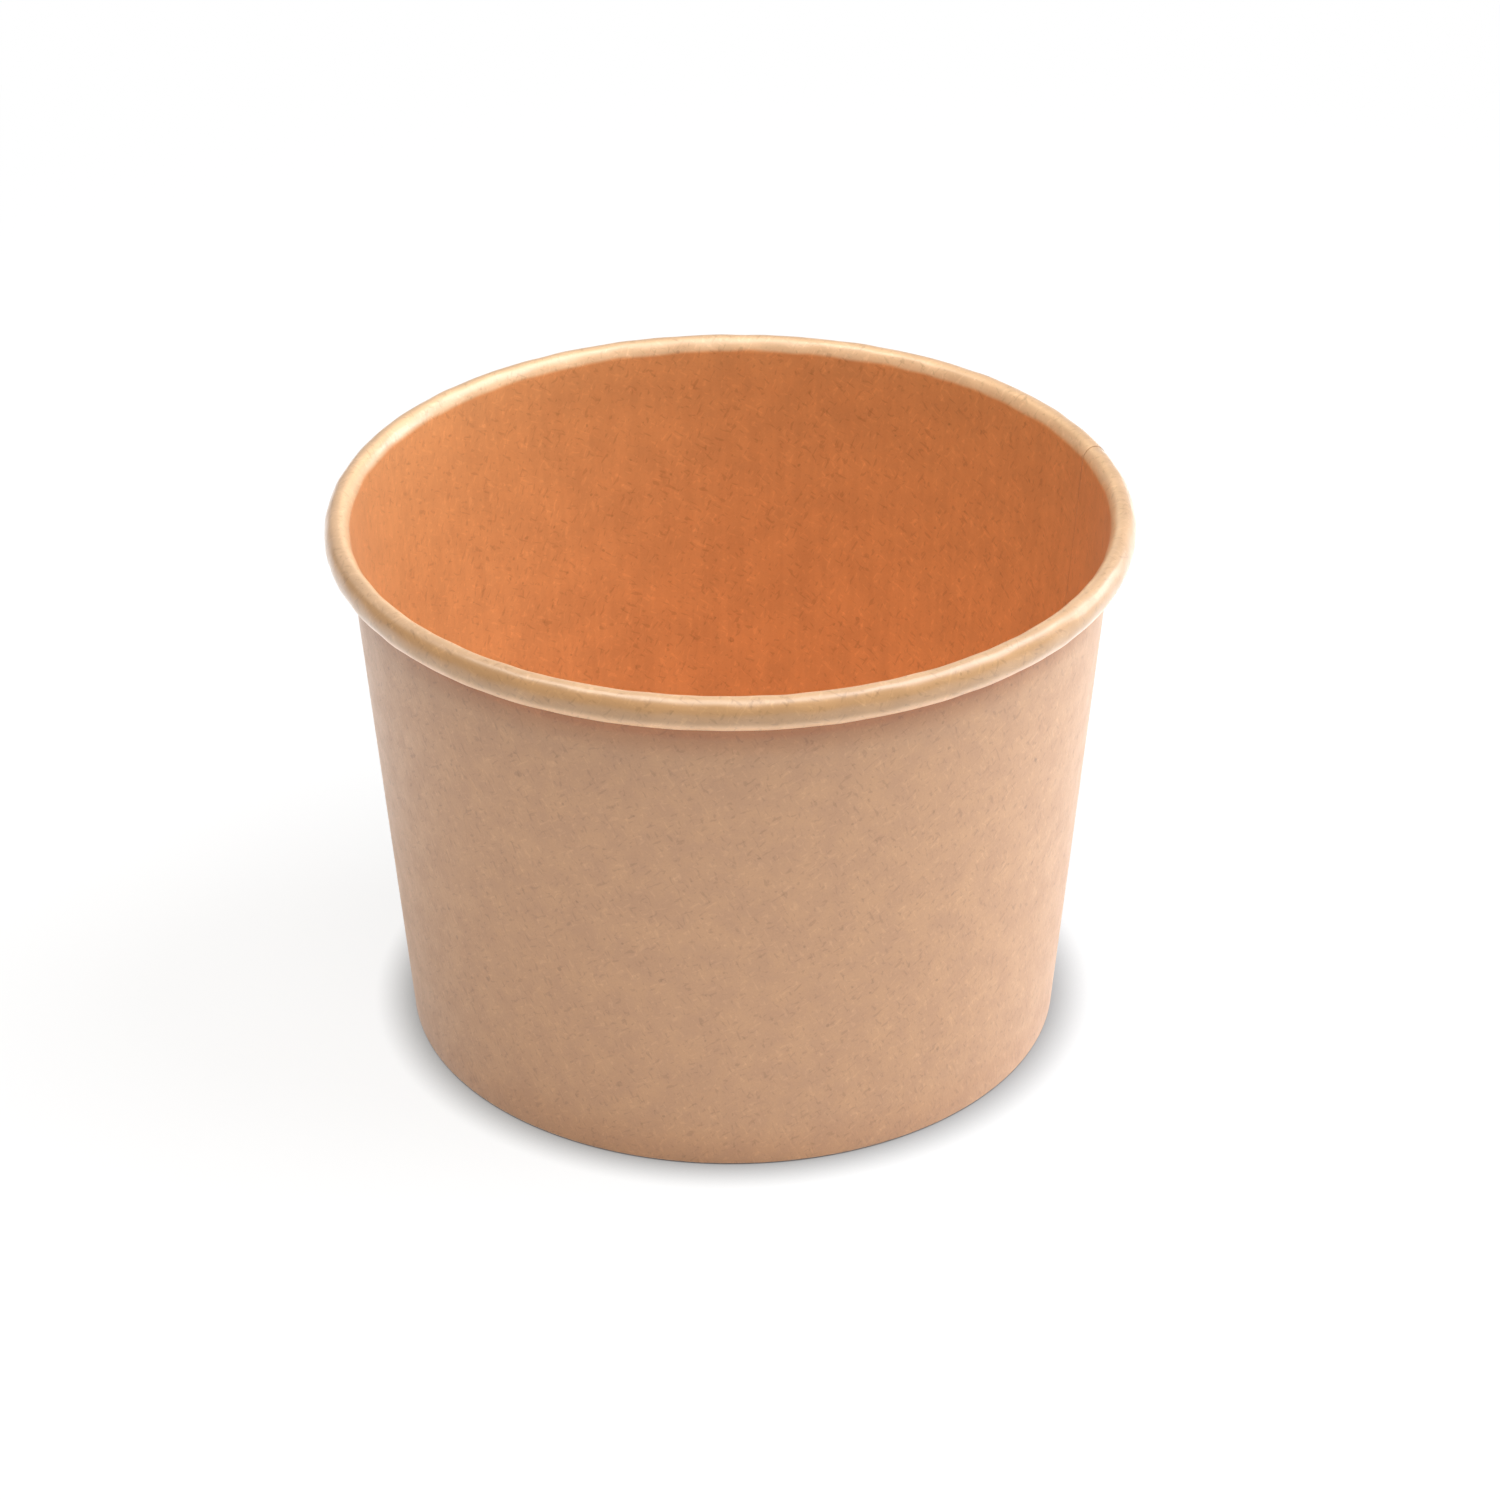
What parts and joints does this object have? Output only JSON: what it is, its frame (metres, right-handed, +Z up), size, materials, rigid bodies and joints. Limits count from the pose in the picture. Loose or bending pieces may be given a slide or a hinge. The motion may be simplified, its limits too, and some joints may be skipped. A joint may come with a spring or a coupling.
{
  "type": "paper ice cream tub",
  "caption": "Open round tapered tub of plain kraft board, with an outward rolled rim, a lap side seam and a raised floor held in a folded bottom hem.",
  "frame": {"origin": "middle of the base ring, on the table that the tub stands on", "axes": "+Z up along the tub's axis; +Y to the back of the tub as the picture shows it, with the inner edge of the side seam 18.5 degrees from +X towards +Y"},
  "size_m": [0.09, 0.09, 0.063],
  "materials": {
    "wall_board": "uncoated brown kraft outside, thin satin food coating inside and over the rim",
    "base_board": "brown kraft with a thin satin food coating on top"
  },
  "bodies": {
    "root": {"side_wall": "wall_board", "base_disc": "base_board"}
  },
  "joints": []
}
